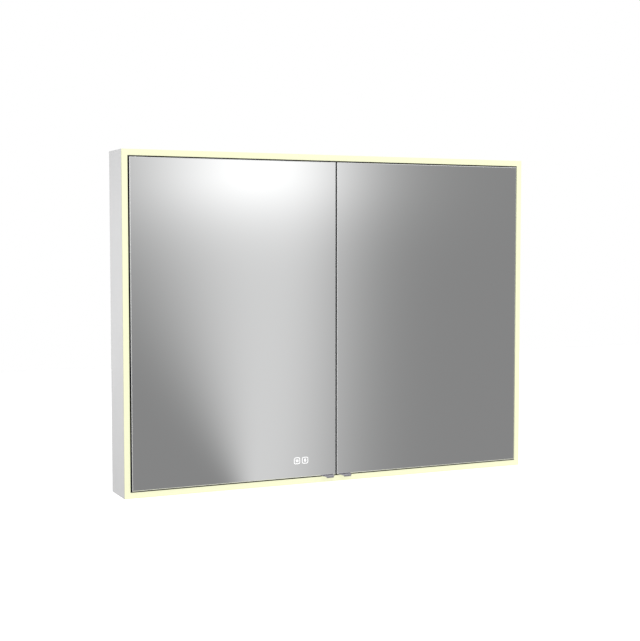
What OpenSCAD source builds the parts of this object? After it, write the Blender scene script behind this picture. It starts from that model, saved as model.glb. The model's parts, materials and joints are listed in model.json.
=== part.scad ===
// Wall-hung mirror cabinet with two hinged mirror doors inside a lit frame.
// X runs to the right, Y towards the wall and Z up. The wall is the plane y = 0 and the
// doors face -Y. The origin is the centre of the four wall-fixing holes, at mid height.
// Depths below are measured from the wall, so a depth d lies at y = -d.

/* [Cabinet] */
// Overall width
cab_w = 1000; // [800:10:1400]
// Overall height
cab_h = 745; // [600:5:1000]
// Depth from the wall to the face of the light band
cab_d = 95; // [78:1:160]

/* [Frame profile] */
// Width of the hollow frame profile, seen from the front
band_w = 13; // [11:0.5:20]
// Wall thickness of the profile
prof_t = 2; // [1.5:0.1:2.4]
// Depth of the open channel that holds the lights
channel_depth = 17.5; // [12:0.5:22]
// How far the two back-panel lips stand in from the profile
lip_reach = 5; // [4:0.5:8]
// Thickness of each lip
lip_t = 1.5; // [1:0.1:2.5]
// Length of each leg of a corner cleat
cleat_leg = 45; // [30:1:60]
// Depth of a corner cleat
cleat_d = 40; // [20:1:48]
// Free space round a cleat inside the profile
cleat_clear = 0.2; // [0.1:0.05:0.5]

/* [Back panel] */
// Free space between the wall and the back panel
cavity = 10; // [10:0.5:16]
// Thickness of the back panel
panel_t = 2; // [1:0.1:4]
// Free space each side of the panel in its groove
slot_clear = 0.1; // [0.05:0.05:0.3]
// Free space between the panel's edge and the groove's floor
panel_edge_clear = 0.5; // [0.3:0.1:1.5]

/* [Light band] */
// Thickness of the diffuser's face
diffuser_t = 2.5; // [1.5:0.1:4]
// Depth of the tongue that holds the diffuser in the channel
tongue_d = 3; // [2:0.5:5]
// Free space each side of the tongue
tongue_clear = 0.2; // [0.1:0.05:0.4]
// Width of a light board
board_w = 8; // [5:0.5:8.5]
// Thickness of a light board
board_t = 1.2; // [0.8:0.1:2]
// Distance from one light chip to the next
led_pitch = 25; // [12:0.5:50]
// Length, width and height of a light chip
led_size = [3.5, 2.8, 0.8];

/* [Doors] */
// Gap between a door and the frame
door_gap = 3; // [2.5:0.1:4]
// Gap between the two doors
centre_gap = 3; // [2:0.1:5]
// How far the doors stand in front of the light band
door_proud = 4; // [0:0.5:8]
// Thickness of each mirror sheet
mirror_t = 4; // [3:0.5:6]
// Width of the polished bevel round a front mirror
bevel_w = 1.5; // [0.5:0.1:2.5]
// Depth of the door frame between its two mirrors
frame_d = 10; // [10:0.5:16]
// How far the door frame is set back from the front mirror's edge
frame_inset = 1; // [0.5:0.1:2]
// Thickness of the door frame's outer web
web_t = 1.5; // [1:0.1:2.5]
// Thickness of the door frame's flanges
flange_t = 1.2; // [0.8:0.1:1.4]
// Free space round the pieces inside the door frame
door_fit = 0.1; // [0.05:0.05:0.3]

/* [Hinges] */
// Radius of a hinge pin
pin_r = 2; // [1.5:0.1:2.4]
// Radial play of a pin in its hinge block
pin_clear = 0.05; // [0.02:0.01:0.09]
// Length of pin held in a hinge block
pin_grip = 12; // [8:0.5:16]
// Wall of a hinge block in front of its bore
block_wall = 0.65; // [0.5:0.05:1.5]
// Height of a hinge block
block_h = 20; // [17:1:30]
// Free space that a door's corner keeps from the frame as it swings
swing_clear = 0.8; // [0.4:0.1:1.2]
// Free space between a hinge plate and a door's edge
plate_clear = 1; // [0.6:0.1:1.5]
// Depth of a hinge plate
plate_d = 25; // [22:1:32]
// Radius of the two screws in a hinge plate
plate_screw_r = 1.5; // [1:0.1:2]

/* [Partition and catches] */
// Thickness of the centre partition
part_w = 18; // [16:0.5:26]
// Wall of the hollow partition
part_t = 1.6; // [1.2:0.1:2.5]
// Depth of the solid strip along the partition's back
part_strip = 6; // [4:0.5:10]
// Space between the partition and the doors' backs
catch_gap = 3; // [2.6:0.1:5]
// Free space between a catch or bumper and the door
catch_clear = 0.2; // [0.1:0.05:0.5]
// Thickness of the steel strike plate on a door
strike_t = 0.8; // [0.5:0.1:1.2]
// Width and height of a strike plate
strike_size = [12, 20];
// Height of a catch housing
catch_h = 26; // [20:1:40]
// Radius of a catch magnet
magnet_r = 2.5; // [2:0.1:3]
// Distance of each catch from the cabinet's middle height
catch_z = 250; // [100:5:260]
// Distance of each bumper from the top or bottom of the door
bumper_in = 26; // [15:1:60]
// Radius of a bumper
bumper_r = 3; // [2:0.1:3.5]

/* [Shelves] */
// Thickness of a glass shelf
shelf_t = 5; // [4:0.5:8]
// Free space at each end of a shelf
shelf_end_clear = 1; // [0.5:0.1:3]
// Free space between a shelf and the swinging door or the back lip
shelf_clear = 1; // [0.5:0.1:4]
// Radius of a shelf's front corners
shelf_corner_r = 4; // [1:0.5:8]
// Radius of a shelf pin
peg_r = 2.5; // [2:0.1:3]
// Radial play of a shelf pin in its hole
peg_clear = 0.1; // [0.05:0.05:0.2]
// Length of a shelf pin inside the wall
peg_in = 5.5; // [4:0.5:6]
// Length of a shelf pin outside the wall
peg_out = 10; // [8:0.5:14]
// Outer radius of the soft sleeve on a shelf pin
sleeve_r = 4; // [3.8:0.1:5]
// Distance of a shelf pin from the shelf's front or back edge
peg_inset = 12; // [8:0.5:16]
// Distance from one row of pin holes to the next
row_pitch = 32; // [24:1:36]
// Rows of pin holes above and below each shelf
spare_rows = 1; // [0:1:2]

/* [Finger tabs] */
// Width of a tab where it leaves the door
tab_root = 30; // [20:1:50]
// Width of a tab at its front edge
tab_front = 23; // [12:1:36]
// Length of the level part in front of the mirror
tab_reach = 13.5; // [6:0.5:20]
// Depth of the lip turned down at a tab's front edge, measured from the tab's top
tab_lip = 4.2; // [2:0.1:8]
// Thickness of a tab
tab_t = 1.5; // [1:0.1:1.8]
// Radius of a tab's front corners
tab_corner_r = 2.5; // [1:0.5:5]
// Distance from a door's free edge to its tab's middle
tab_in = 20.5; // [18:0.5:60]
// Free space between a tab and the mirror's bottom edge
tab_clear = 0.2; // [0.1:0.05:0.5]
// Spacing of the two screws in a tab
tab_screw_pitch = 18; // [12:1:20]

/* [Touch controls] */
// Distance from the left door's free edge to the nearer symbol's middle
icon_in = 77.5; // [60:0.5:200]
// Height of the symbols' middles above the door's bottom edge
icon_up = 38.5; // [36:0.5:120]
// Distance between the two symbols' middles
icon_pitch = 20; // [17:0.5:30]
// Width of a symbol's outline
icon_size = 15; // [10:0.5:16]
// Thickness of a symbol's outline
icon_line = 1.2; // [1:0.1:2.5]
// Depth of the symbols in the glass
icon_depth = 0.3; // [0.2:0.1:0.8]
// Width, height and thickness of the touch board behind them
touch_board_size = [52, 16, 1.2];
// Width and height of the demist film
film_size = [300, 440];
// Thickness of the demist film
film_t = 0.4; // [0.2:0.1:0.8]

/* [Wall fixing] */
// Distance of the wall-fixing holes from the cabinet's sides
fix_side_in = 100; // [80:5:200]
// Distance of the wall-fixing holes from the cabinet's top and bottom
fix_end_in = 72.5; // [72:0.5:120]
// Radius of a wall-fixing hole
fix_r = 2.75; // [2:0.25:3.5]
// Thickness of the steel of the rails and brackets
rail_t = 1.5; // [1.2:0.1:1.6]
// Distance that the rails run past the fixing holes
rail_over = 30; // [15:1:40]
// Half height of a rail's or bracket's wall flange
flange_half = 15; // [12:1:18]
// Height of the wall rail's upturned lip
rail_lip = 10; // [8:0.5:14]
// Width of a lower bracket
bracket_w = 50; // [40:1:80]
// Radius of a rivet
rivet_r = 2; // [1.5:0.1:2.5]
// Radius and thickness of a rivet's head
rivet_head = [3.5, 1.1];
// Radius of the screwdriver holes in front of the lower fixings
access_r = 8; // [6:0.5:10]

/* [Electronics] */
// Distance from the partition to the driver cover
cover_from_part = 129; // [60:1:140]
// Width of the driver cover
cover_w = 220; // [200:1:240]
// Height of the driver cover
cover_h = 42; // [38:1:60]
// Thickness of the cover's sheet
cover_t = 1.2; // [0.8:0.1:2]
// Width, depth and height of the light driver
driver_size = [140, 22, 30];
// Width, depth and height of the terminal block
terminal_size = [26, 14, 16];
// Radius of the mains cable's hole in its grommet
inlet_r = 4.5; // [3:0.25:5]
// Distance from the grommet's middle to the cover's left side
inlet_in = 22; // [14:1:24]
// Depth of the grommet's middle below the cabinet's inner top
inlet_down = 19; // [16:0.5:22]
// Radius of the lead from the driver to the lights
lead_r = 1.5; // [1:0.1:2]

/* [Hidden] */
$fn = 48;
eps = 0.01;
// Radial play of a pressed pin, rivet or thread, and of a screw in its clearance hole
press_fit = 0.02;
hole_fit = 0.05;

// Inner faces of the frame
inner_x = cab_w / 2 - band_w;
inner_z = cab_h / 2 - band_w;
prof_front = cab_d - diffuser_t;
channel_floor = prof_front - channel_depth;
chamber_w = band_w - 2 * prof_t;
band_mid = band_w / 2;
mitre = band_w + lip_reach;

// Back panel and the lips that hold it
panel_front = cavity + panel_t;
lip_front = panel_front + slot_clear + lip_t;
panel_x = inner_x - panel_edge_clear;
panel_z = inner_z - panel_edge_clear;
notch_clear = 0.4;

// Doors: the left one is drawn, and the right one is its mirror image
door_front = cab_d + door_proud;
frame_front = door_front - mirror_t;
frame_back = frame_front - frame_d;
door_back = frame_back - mirror_t;
door_x0 = -inner_x + door_gap;
door_x1 = -centre_gap / 2;
door_z = inner_z - door_gap;
frame_z = door_z - frame_inset;

// Hinge axis: as far in from the door's edge as its front corner needs to clear the frame
block_v1 = frame_front - flange_t - door_fit;
block_v0 = frame_back + flange_t + door_fit;
bore_r = pin_r + pin_clear;
pivot_v = block_v1 - block_wall - bore_r;
pivot_back = door_front - pivot_v;
swing = door_gap - swing_clear;
pivot_in = ceil((pivot_back * pivot_back - swing * swing) / (2 * swing));
pivot_x = door_x0 + pivot_in;
plate_rim = 1.8;
plate_end_clear = 0.5;
plate_over = 18;
plate_t = door_gap - plate_clear;
plate_v1 = pivot_v + pin_r + plate_rim;
plate_v0 = plate_v1 - plate_d;
plate_x = [-inner_x + plate_end_clear, pivot_x + plate_over];
plate_screw_x = 9;
plate_screw_v = plate_v0 + 6;
pin_top = inner_z - 0.1;
pin_bottom = frame_z - web_t - pin_grip;
washer_play = 0.2;
washer_r = frame_front - pivot_v - 2 * washer_play;
washer_t = plate_clear + frame_inset - washer_play;

// Hollow of the door frame: hinge blocks at its ends, then the core
block_rim = 3;
web_clear = 0.5;
core_clear = 1;
core_lap = 2.5;
block_x1 = pivot_x + bore_r + block_rim;
core_in = block_x1 + core_clear - door_x0;
frame_reach = core_in + core_lap;

// The door's back corner swings in this far, and the shelves keep behind it
swing_r = norm([pivot_in - frame_inset, pivot_v - door_back]);
shelf_front = pivot_v - swing_r - shelf_clear;
shelf_back = lip_front + shelf_clear;
part_front = door_back - catch_gap;
bay_x1 = -part_w / 2;
catch_t = catch_gap - strike_t - catch_clear;
magnet_rim = 0.7;
magnet_back = 0.4;
catch_x = part_w / 2 - magnet_r - magnet_rim;
bumper_z = door_z - bumper_in;

// Shelves: two in each bay, at a third and two thirds of the inner height
shelf_zs = [-inner_z / 3, inner_z / 3];
peg_vs = [shelf_back + peg_inset, shelf_front - peg_inset];
collar_t = 1.5;
function peg_z(shelf_z) = shelf_z - sleeve_r;
row_zs = [for (z = shelf_zs, k = [-spare_rows:spare_rows]) peg_z(z) + k * row_pitch];

// Wall fixing
fix_x = cab_w / 2 - fix_side_in;
fix_z = cab_h / 2 - fix_end_in;
rail_len = 2 * (fix_x + rail_over);
rail_rise = flange_half + rail_lip;
rail_lip_v = 5;
hook_v = 3;
hook_down = 3;
hook_up = 5;
rail_rivet_z = fix_z + 8;
rail_rivet_in = 45;
rail_rivet_xs = [rail_rivet_in - fix_x, -fix_x / 3, fix_x / 3, fix_x - rail_rivet_in];
bracket_up = 35;
bracket_rivet_z = -fix_z + 25;
bracket_rivet_x = bracket_w / 2 - 12;
cap_t = 1.1;
panel_screw_zs = [-inner_z / 2, 0, inner_z / 2];

// Electronics, in the top of the left bay
cover_x1 = bay_x1 - cover_from_part;
cover_x0 = cover_x1 - cover_w;
cover_z = inner_z - cover_h;
cover_front = shelf_front - 8;
ear = 13;
ear_screw_in = 10;
ear_vs = [lip_front + ear_screw_in, cover_front - ear_screw_in];
inlet_x = cover_x0 + inlet_in;
inlet_z = inner_z - inlet_down;
grommet_t = 1.6;
grommet_r = inlet_r + grommet_t;
grommet_flange_r = grommet_r + grommet_t;
grommet_flange_t = 2;
inside_gap = 3;
terminal_x = inlet_x + grommet_flange_r + inside_gap;
driver_x = cover_x1 - cover_t - 2 * inside_gap - driver_size[0];
driver_z = cover_z + cover_t + inside_gap;
driver_v = panel_front + inside_gap;
lead_x = driver_x + 20;
lead_v = driver_v + driver_size[1] + 10;
lead_in = 4;
lead_hole_r = lead_r + 0.5;
lead_z = driver_z + driver_size[2] / 2;
channel_z = cab_h / 2 - band_mid;

// ---- Helpers ----

module flip_x() mirror([1, 0, 0]) children();
module flip_z() mirror([0, 0, 1]) children();
module both_sides() { children(); flip_x() children(); }
module both_ends() { children(); flip_z() children(); }

// A 2D shape in X and Z, given depth from the wall outwards
module from_wall(v0, v1)
    translate([0, -v0, 0]) rotate([90, 0, 0]) linear_extrude(v1 - v0) children();

// A 2D shape in Y and Z, drawn out along X
module along_x(length) rotate([90, 0, 90]) linear_extrude(length, center = true) children();

// A box between two places in X, depth and Z
module block(x, v, z)
    translate([x[0], -v[1], z[0]]) cube([x[1] - x[0], v[1] - v[0], z[1] - z[0]]);

// A straight rod along Y from depth v0 to depth v1
module rod_y(x, z, r, v0, v1)
    translate([x, -v0, z]) rotate([90, 0, 0]) cylinder(h = v1 - v0, r = r);

// A straight rod along X
module rod_x(x0, x1, v, z, r)
    translate([x0, -v, z]) rotate([0, 90, 0]) cylinder(h = x1 - x0, r = r);

module round_rect(w, h, r) {
    square([w - 2 * r, h], center = true);
    square([w, h - 2 * r], center = true);
    for (x = [-1, 1], y = [-1, 1]) translate([x * (w / 2 - r), y * (h / 2 - r)]) circle(r);
}

// A countersunk screw that points down -Z from the top of its head
module countersunk(r, length) {
    head_r = 1.9 * r;
    difference() {
        union() {
            translate([0, 0, -(head_r - r)]) cylinder(h = head_r - r, r1 = r, r2 = head_r);
            translate([0, 0, -length]) cylinder(h = length - head_r + r, r = r);
        }
        translate([0, 0, -0.5 * r]) cylinder(h = r, r = 0.7 * r, $fn = 6);
    }
}

// The hole that takes it
module countersink(r, length) {
    head_r = 1.9 * r + 0.1;
    translate([0, 0, -(head_r - r)]) cylinder(h = head_r - r, r1 = r, r2 = head_r);
    translate([0, 0, -length]) cylinder(h = length + 1, r = r + hole_fit);
}

// A pan-head screw whose head sits on z = 0 and whose shank points down
module pan_screw(r, length) {
    difference() {
        union() {
            cylinder(h = 1.2 * r, r1 = 2 * r, r2 = 1.6 * r);
            translate([0, 0, -length]) cylinder(h = length, r = r);
        }
        translate([0, 0, 0.6 * r]) cylinder(h = r, r = 0.7 * r, $fn = 6);
    }
}

// ---- Frame of the cabinet ----

// One side of the frame, mitred at both ends. The section's x runs in from the outer face
// and its y runs out from the wall.
module frame_bar(length, reach) {
    half = length / 2;
    intersection() {
        translate([-reach, 0, -half]) mirror([0, 1, 0]) linear_extrude(length) children();
        from_wall(0, cab_d) polygon([[-reach, -half], [-reach, half],
            [-reach + mitre, half - mitre], [-reach + mitre, -half + mitre]]);
    }
}

module upright_bar() frame_bar(cab_h, cab_w / 2) children();
module level_bar() rotate([0, 90, 0]) frame_bar(cab_w, cab_h / 2) children();

module profile_section() {
    lip_w = band_w + lip_reach;
    square([prof_t, prof_front]);
    translate([band_w - prof_t, 0]) square([prof_t, prof_front]);
    square([band_w, prof_t]);
    translate([0, channel_floor - prof_t]) square([band_w, prof_t]);
    translate([band_w - prof_t, cavity - slot_clear - lip_t]) square([lip_reach + prof_t, lip_t]);
    translate([band_w - prof_t, panel_front + slot_clear]) square([lip_reach + prof_t, lip_t]);
}

// Screws through the profile's back into the legs of the corner cleats
corner_screw_at = cleat_leg - 15;
corner_screw_r = 2;
corner_screw_l = 20;
panel_screw_r = 1.75;
cover_screw_r = 1.5;

module at_upright_screws()
    for (z = [-1, 1]) translate([-cab_w / 2 + band_mid, 0, z * (cab_h / 2 - corner_screw_at)])
        rotate([-90, 0, 0]) children();

module at_level_screws()
    for (x = [-1, 1]) translate([x * (cab_w / 2 - corner_screw_at), 0, cab_h / 2 - band_mid])
        rotate([-90, 0, 0]) children();

module side_profile() {
    color("gainsboro") difference() {
        upright_bar() profile_section();
        for (z = row_zs, v = peg_vs)
            rod_x(-inner_x - prof_t - 1, -inner_x + 1, v, z, peg_r + peg_clear);
        at_upright_screws() countersink(corner_screw_r, prof_t + 1);
    }
}

// The top and bottom profiles carry the hinge plates
module level_profile() {
    difference() {
        level_bar() profile_section();
        both_sides() for (x = [-1, 1])
            translate([pivot_x + x * plate_screw_x, -plate_screw_v, inner_z - 1])
                cylinder(h = prof_t + 2, r = plate_screw_r + hole_fit);
        at_level_screws() countersink(corner_screw_r, prof_t + 1);
    }
}

module left_side_profile() side_profile();
module right_side_profile() flip_x() side_profile();

module top_profile() {
    color("gainsboro") difference() {
        level_profile();
        at_cover_screws() translate([0, 0, -1])
            cylinder(h = prof_t + 2, r = cover_screw_r + hole_fit);
        rod_y(lead_x, channel_z, lead_hole_r, channel_floor - prof_t - 1, channel_floor + 1);
        translate([lead_x, -lead_v, inner_z - 1]) cylinder(h = prof_t + 2, r = lead_hole_r);
    }
}

module bottom_profile() color("gainsboro") flip_z() level_profile();

module corner_cleat() {
    w = chamber_w - 2 * cleat_clear;
    x = -cab_w / 2 + prof_t + cleat_clear;
    z = cab_h / 2 - prof_t - cleat_clear;
    difference() {
        from_wall(prof_t + cleat_clear, prof_t + cleat_clear + cleat_d)
            polygon([[x, z], [x + cleat_leg, z], [x + cleat_leg, z - w], [x + w, z - w],
                [x + w, z - cleat_leg], [x, z - cleat_leg]]);
        at_upright_screws() translate([0, 0, -corner_screw_l - 1])
            cylinder(h = corner_screw_l, r = corner_screw_r + press_fit);
        at_level_screws() translate([0, 0, -corner_screw_l - 1])
            cylinder(h = corner_screw_l, r = corner_screw_r + press_fit);
    }
}

module corner_cleats() color("darkgray") both_sides() both_ends() corner_cleat();

module carcase_screws() color("silver") {
    both_sides() at_upright_screws() countersunk(corner_screw_r, corner_screw_l);
    both_ends() at_level_screws() countersunk(corner_screw_r, corner_screw_l);
    for (z = panel_screw_zs) translate([0, -cavity, z]) rotate([-90, 0, 0])
        pan_screw(panel_screw_r, panel_t + part_strip - 1);
}

// ---- Back panel and partition ----

module back_panel() {
    color("white") difference() {
        from_wall(cavity, panel_front) square([2 * panel_x, 2 * panel_z], center = true);
        for (x = rail_rivet_xs)
            rod_y(x, rail_rivet_z, rivet_r + press_fit, cavity - 1, panel_front + 1);
        both_sides() for (x = [-1, 1])
            rod_y(-fix_x + x * bracket_rivet_x, bracket_rivet_z, rivet_r + press_fit,
                cavity - 1, panel_front + 1);
        both_sides() rod_y(-fix_x, -fix_z, access_r, cavity - 1, panel_front + 1);
        for (z = panel_screw_zs) rod_y(0, z, panel_screw_r + hole_fit, cavity - 1, panel_front + 1);
        rod_y(inlet_x, inlet_z, grommet_r, cavity - 1, panel_front + 1);
    }
}

module centre_partition() {
    v = [panel_front, part_front];
    half = part_w / 2;
    notch = lip_reach + notch_clear;
    color("white") difference() {
        block([-half, half], v, [-inner_z, inner_z]);
        block([-half + part_t, half - part_t], [v[0] + part_strip, v[1] - part_t],
            [-inner_z - 1, inner_z + 1]);
        both_ends() block([-half - 1, half + 1], [v[0] - 1, lip_front + notch_clear],
            [inner_z - notch, inner_z + 1]);
        for (z = row_zs, v = peg_vs) rod_x(-half - 1, half + 1, v, z, peg_r + peg_clear);
        for (z = panel_screw_zs)
            rod_y(0, z, panel_screw_r + press_fit, v[0] - 1, v[0] + part_strip - 0.5);
    }
}

// ---- Light band ----

module diffuser_section() {
    inset = prof_t + tongue_clear;
    translate([0, prof_front]) square([band_w, diffuser_t]);
    translate([inset, prof_front - tongue_d]) square([band_w - 2 * inset, tongue_d + eps]);
}

module left_diffuser() color("lightyellow") upright_bar() diffuser_section();
module right_diffuser() flip_x() left_diffuser();
module top_diffuser() color("lightyellow") level_bar() diffuser_section();
module bottom_diffuser() flip_z() top_diffuser();

upright_board_l = cab_h - 2 * (band_w + 3);
level_board_l = cab_w - 2 * (band_w + 3);

// The chips along a board, centred on its length
function chip_places(length) = let (n = floor((length / 2 - 6) / led_pitch))
    [for (k = [-n:n]) k * led_pitch];

module light_boards() color("whitesmoke") {
    v = [channel_floor, channel_floor + board_t];
    half = board_w / 2;
    both_sides() translate([-cab_w / 2 + band_mid, 0, 0])
        block([-half, half], v, [-upright_board_l / 2, upright_board_l / 2]);
    both_ends() translate([0, 0, channel_z])
        block([-level_board_l / 2, level_board_l / 2], v, [-half, half]);
}

module light_chips() color("khaki") {
    v0 = channel_floor + board_t;
    v = [v0, v0 + led_size[2]];
    l = led_size[0] / 2;
    w = led_size[1] / 2;
    both_sides() for (z = chip_places(upright_board_l))
        translate([-cab_w / 2 + band_mid, 0, z]) block([-w, w], v, [-l, l]);
    both_ends() for (x = chip_places(level_board_l))
        translate([x, 0, channel_z]) block([-l, l], v, [-w, w]);
}

// ---- Shelves ----

// A shelf of the left bay, with rounded front corners
module shelf(z) {
    x0 = -inner_x + shelf_end_clear;
    x1 = bay_x1 - shelf_end_clear;
    r = shelf_corner_r;
    color("paleturquoise", 0.6) translate([0, 0, z]) linear_extrude(shelf_t) {
        translate([x0, -shelf_front + r]) square([x1 - x0, shelf_front - shelf_back - r]);
        translate([x0 + r, -shelf_front]) square([x1 - x0 - 2 * r, r + eps]);
        for (x = [x0 + r, x1 - r]) translate([x, -shelf_front + r]) circle(r);
    }
}

module left_upper_shelf() shelf(shelf_zs[1]);
module left_lower_shelf() shelf(shelf_zs[0]);
module right_upper_shelf() flip_x() shelf(shelf_zs[1]);
module right_lower_shelf() flip_x() shelf(shelf_zs[0]);

// Everything on a peg is drawn along +X from the wall's face at the origin
module at_pegs() {
    for (z = shelf_zs, v = peg_vs) {
        translate([-inner_x, -v, peg_z(z)]) rotate([0, 90, 0]) children();
        translate([bay_x1, -v, peg_z(z)]) rotate([0, -90, 0]) children();
    }
}

module shelf_pins() color("silver") both_sides() at_pegs() {
    translate([0, 0, -peg_in]) cylinder(h = peg_in + peg_out, r = peg_r);
    cylinder(h = collar_t, r = sleeve_r - 0.2);
}

module shelf_pin_sleeves() color("lightblue", 0.7) both_sides() at_pegs() difference() {
    translate([0, 0, collar_t]) cylinder(h = peg_out - collar_t - 0.5, r = sleeve_r);
    cylinder(h = peg_out + 1, r = peg_r + press_fit);
}

// ---- Hinges ----

module hinge_plate() color("slategray") difference() {
    block(plate_x, [plate_v0, plate_v1], [inner_z - plate_t, inner_z]);
    translate([pivot_x, -pivot_v, inner_z - plate_t - 1])
        cylinder(h = plate_t + 2, r = pin_r + press_fit);
    at_plate_screws() countersink(plate_screw_r, plate_t + 1);
}

module at_plate_screws()
    for (x = [-1, 1])
        translate([pivot_x + x * plate_screw_x, -plate_screw_v, inner_z - plate_t])
            rotate([180, 0, 0]) children();

module upper_hinge_plates() both_sides() hinge_plate();
module lower_hinge_plates() both_sides() flip_z() hinge_plate();

module hinge_pins() color("silver") both_sides() both_ends()
    translate([pivot_x, -pivot_v, pin_bottom]) cylinder(h = pin_top - pin_bottom, r = pin_r);

module hinge_washers() color("ivory") both_sides() both_ends()
    translate([pivot_x, -pivot_v, inner_z - plate_t - washer_t]) difference() {
        cylinder(h = washer_t, r = washer_r);
        translate([0, 0, -1]) cylinder(h = washer_t + 2, r = pin_r + hole_fit);
    }

module hinge_screws() color("silver") both_sides() both_ends() at_plate_screws()
    countersunk(plate_screw_r, plate_t + prof_t);

// ---- Catches on the partition's front edge ----

module catch_housings() color("dimgray") both_ends() difference() {
    from_wall(part_front, part_front + catch_t) translate([0, catch_z])
        round_rect(part_w - 1, catch_h, 2);
    both_sides() rod_y(-catch_x, catch_z, magnet_r + press_fit, part_front + magnet_back,
        part_front + catch_t + 1);
}

module catch_magnets() color("silver") both_ends() both_sides()
    rod_y(-catch_x, catch_z, magnet_r, part_front + magnet_back, part_front + catch_t);

// A short cushion with a domed face
module door_bumpers() color("lightblue", 0.7) both_ends() both_sides()
    translate([-catch_x, -part_front, bumper_z]) rotate([90, 0, 0]) rotate_extrude() {
        h = catch_gap - catch_clear;
        square([bumper_r - 1, h]);
        square([bumper_r, h - 1]);
        translate([bumper_r - 1, h - 1]) circle(1);
    }

// ---- Electronics ----

// Places of the cover's screws on the profile's inner face, pointing up into it
module at_cover_screws()
    for (x = [cover_x0 - ear / 2, cover_x1 + ear / 2], v = ear_vs)
        translate([x, -v, inner_z]) children();

module driver_cover() {
    x = [cover_x0, cover_x1];
    color("white") difference() {
        union() {
            block(x, [panel_front, cover_front], [cover_z, inner_z]);
            block([x[0] - ear, x[1] + ear], [lip_front + 1, cover_front],
                [inner_z - cover_t, inner_z]);
        }
        block([x[0] + cover_t, x[1] - cover_t], [panel_front - 1, cover_front - cover_t],
            [cover_z + cover_t, inner_z + 1]);
        block([x[0] - 1, x[1] + 1], [panel_front - 1, lip_front + notch_clear],
            [inner_z - lip_reach - notch_clear, inner_z + 1]);
        at_cover_screws() translate([0, 0, -cover_t - 1])
            cylinder(h = cover_t + 2, r = cover_screw_r + hole_fit);
    }
}

module cover_screws() color("silver") at_cover_screws()
    translate([0, 0, -cover_t]) rotate([180, 0, 0]) pan_screw(cover_screw_r, cover_t + prof_t + 1);

module light_driver() {
    w = driver_size[0];
    d = driver_size[1];
    h = driver_size[2];
    color("whitesmoke") difference() {
        translate([driver_x + w / 2, 0, driver_z]) linear_extrude(h)
            translate([0, -driver_v - d / 2]) round_rect(w, d, 3);
        rod_y(lead_x, lead_z, lead_r + hole_fit, driver_v + d - lead_in, driver_v + d + 1);
    }
}

module terminal_block() {
    w = terminal_size[0];
    d = terminal_size[1];
    h = terminal_size[2];
    ways = 3;
    color("white") difference() {
        block([terminal_x, terminal_x + w], [panel_front, panel_front + d],
            [driver_z, driver_z + h]);
        for (k = [0:ways - 1])
            rod_y(terminal_x + w * (k + 0.5) / ways, driver_z + h / 2, 2.2,
                panel_front + d - 5, panel_front + d + 1);
    }
}

// The lead runs back from the top light board, down through the profile and into the driver
module light_lead() color("white") {
    rod_y(lead_x, channel_z, lead_r, lead_v, channel_floor);
    translate([lead_x, -lead_v, lead_z]) cylinder(h = channel_z - lead_z, r = lead_r);
    rod_y(lead_x, lead_z, lead_r, driver_v + driver_size[1] - lead_in, lead_v);
    for (z = [lead_z, channel_z]) translate([lead_x, -lead_v, z]) sphere(lead_r);
}

module mains_grommet() color("dimgray") difference() {
    union() {
        rod_y(inlet_x, inlet_z, grommet_r, cavity - grommet_flange_t, panel_front + grommet_flange_t);
        rod_y(inlet_x, inlet_z, grommet_flange_r, cavity - grommet_flange_t, cavity);
        rod_y(inlet_x, inlet_z, grommet_flange_r, panel_front, panel_front + grommet_flange_t);
    }
    rod_y(inlet_x, inlet_z, inlet_r, cavity - 3, panel_front + 3);
}

// ---- Wall fixing ----

// Section of the rail on the wall, in Y and Z about the fixing holes
module wall_rail_section() {
    translate([-rail_t, -flange_half]) square([rail_t, 2 * flange_half]);
    translate([-rail_lip_v - rail_t, flange_half - rail_t]) square([rail_lip_v + rail_t, rail_t]);
    translate([-rail_lip_v - rail_t, flange_half - rail_t]) square([rail_t, rail_lip + rail_t]);
}

// Section of the rail on the cabinet, which hangs on the lip of the wall rail
module hook_rail_section() {
    translate([-cavity, hook_down]) square([rail_t, rail_rise + hook_up - hook_down]);
    translate([-cavity, rail_rise]) square([cavity - hook_v, rail_t]);
    translate([-hook_v - rail_t, flange_half + rail_t]) square([rail_t, rail_rise - flange_half]);
}

module wall_rail() color("silver") difference() {
    translate([0, 0, fix_z]) along_x(rail_len) wall_rail_section();
    both_sides() rod_y(-fix_x, fix_z, fix_r, -1, rail_t + 1);
}

module hook_rail() color("silver") difference() {
    translate([0, 0, fix_z]) along_x(rail_len) hook_rail_section();
    for (x = rail_rivet_xs)
        rod_y(x, rail_rivet_z, rivet_r + press_fit, cavity - rail_t - 1, cavity + 1);
}

module lower_bracket() difference() {
    translate([-fix_x, 0, -fix_z]) along_x(bracket_w) {
        translate([-rail_t, -flange_half]) square([rail_t, 2 * flange_half]);
        translate([-cavity, flange_half - rail_t]) square([cavity, rail_t]);
        translate([-cavity, flange_half - rail_t]) square([rail_t, bracket_up - flange_half]);
    }
    rod_y(-fix_x, -fix_z, fix_r, -1, rail_t + 1);
    for (x = [-1, 1]) rod_y(-fix_x + x * bracket_rivet_x, bracket_rivet_z, rivet_r + press_fit,
        cavity - rail_t - 1, cavity + 1);
}

module lower_wall_brackets() color("silver") both_sides() lower_bracket();

module rivet(x, z) translate([x, -panel_front, z]) rotate([90, 0, 0]) {
    grip = panel_t + rail_t;
    translate([0, 0, -grip]) cylinder(h = grip, r = rivet_r);
    cylinder(h = rivet_head[1], r1 = rivet_head[0], r2 = 0.6 * rivet_head[0]);
    translate([0, 0, -grip - rivet_head[1]])
        cylinder(h = rivet_head[1], r1 = 0.6 * rivet_head[0], r2 = rivet_head[0]);
}

module rail_rivets() color("gray") {
    for (x = rail_rivet_xs) rivet(x, rail_rivet_z);
    both_sides() for (x = [-1, 1]) rivet(-fix_x + x * bracket_rivet_x, bracket_rivet_z);
}

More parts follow.
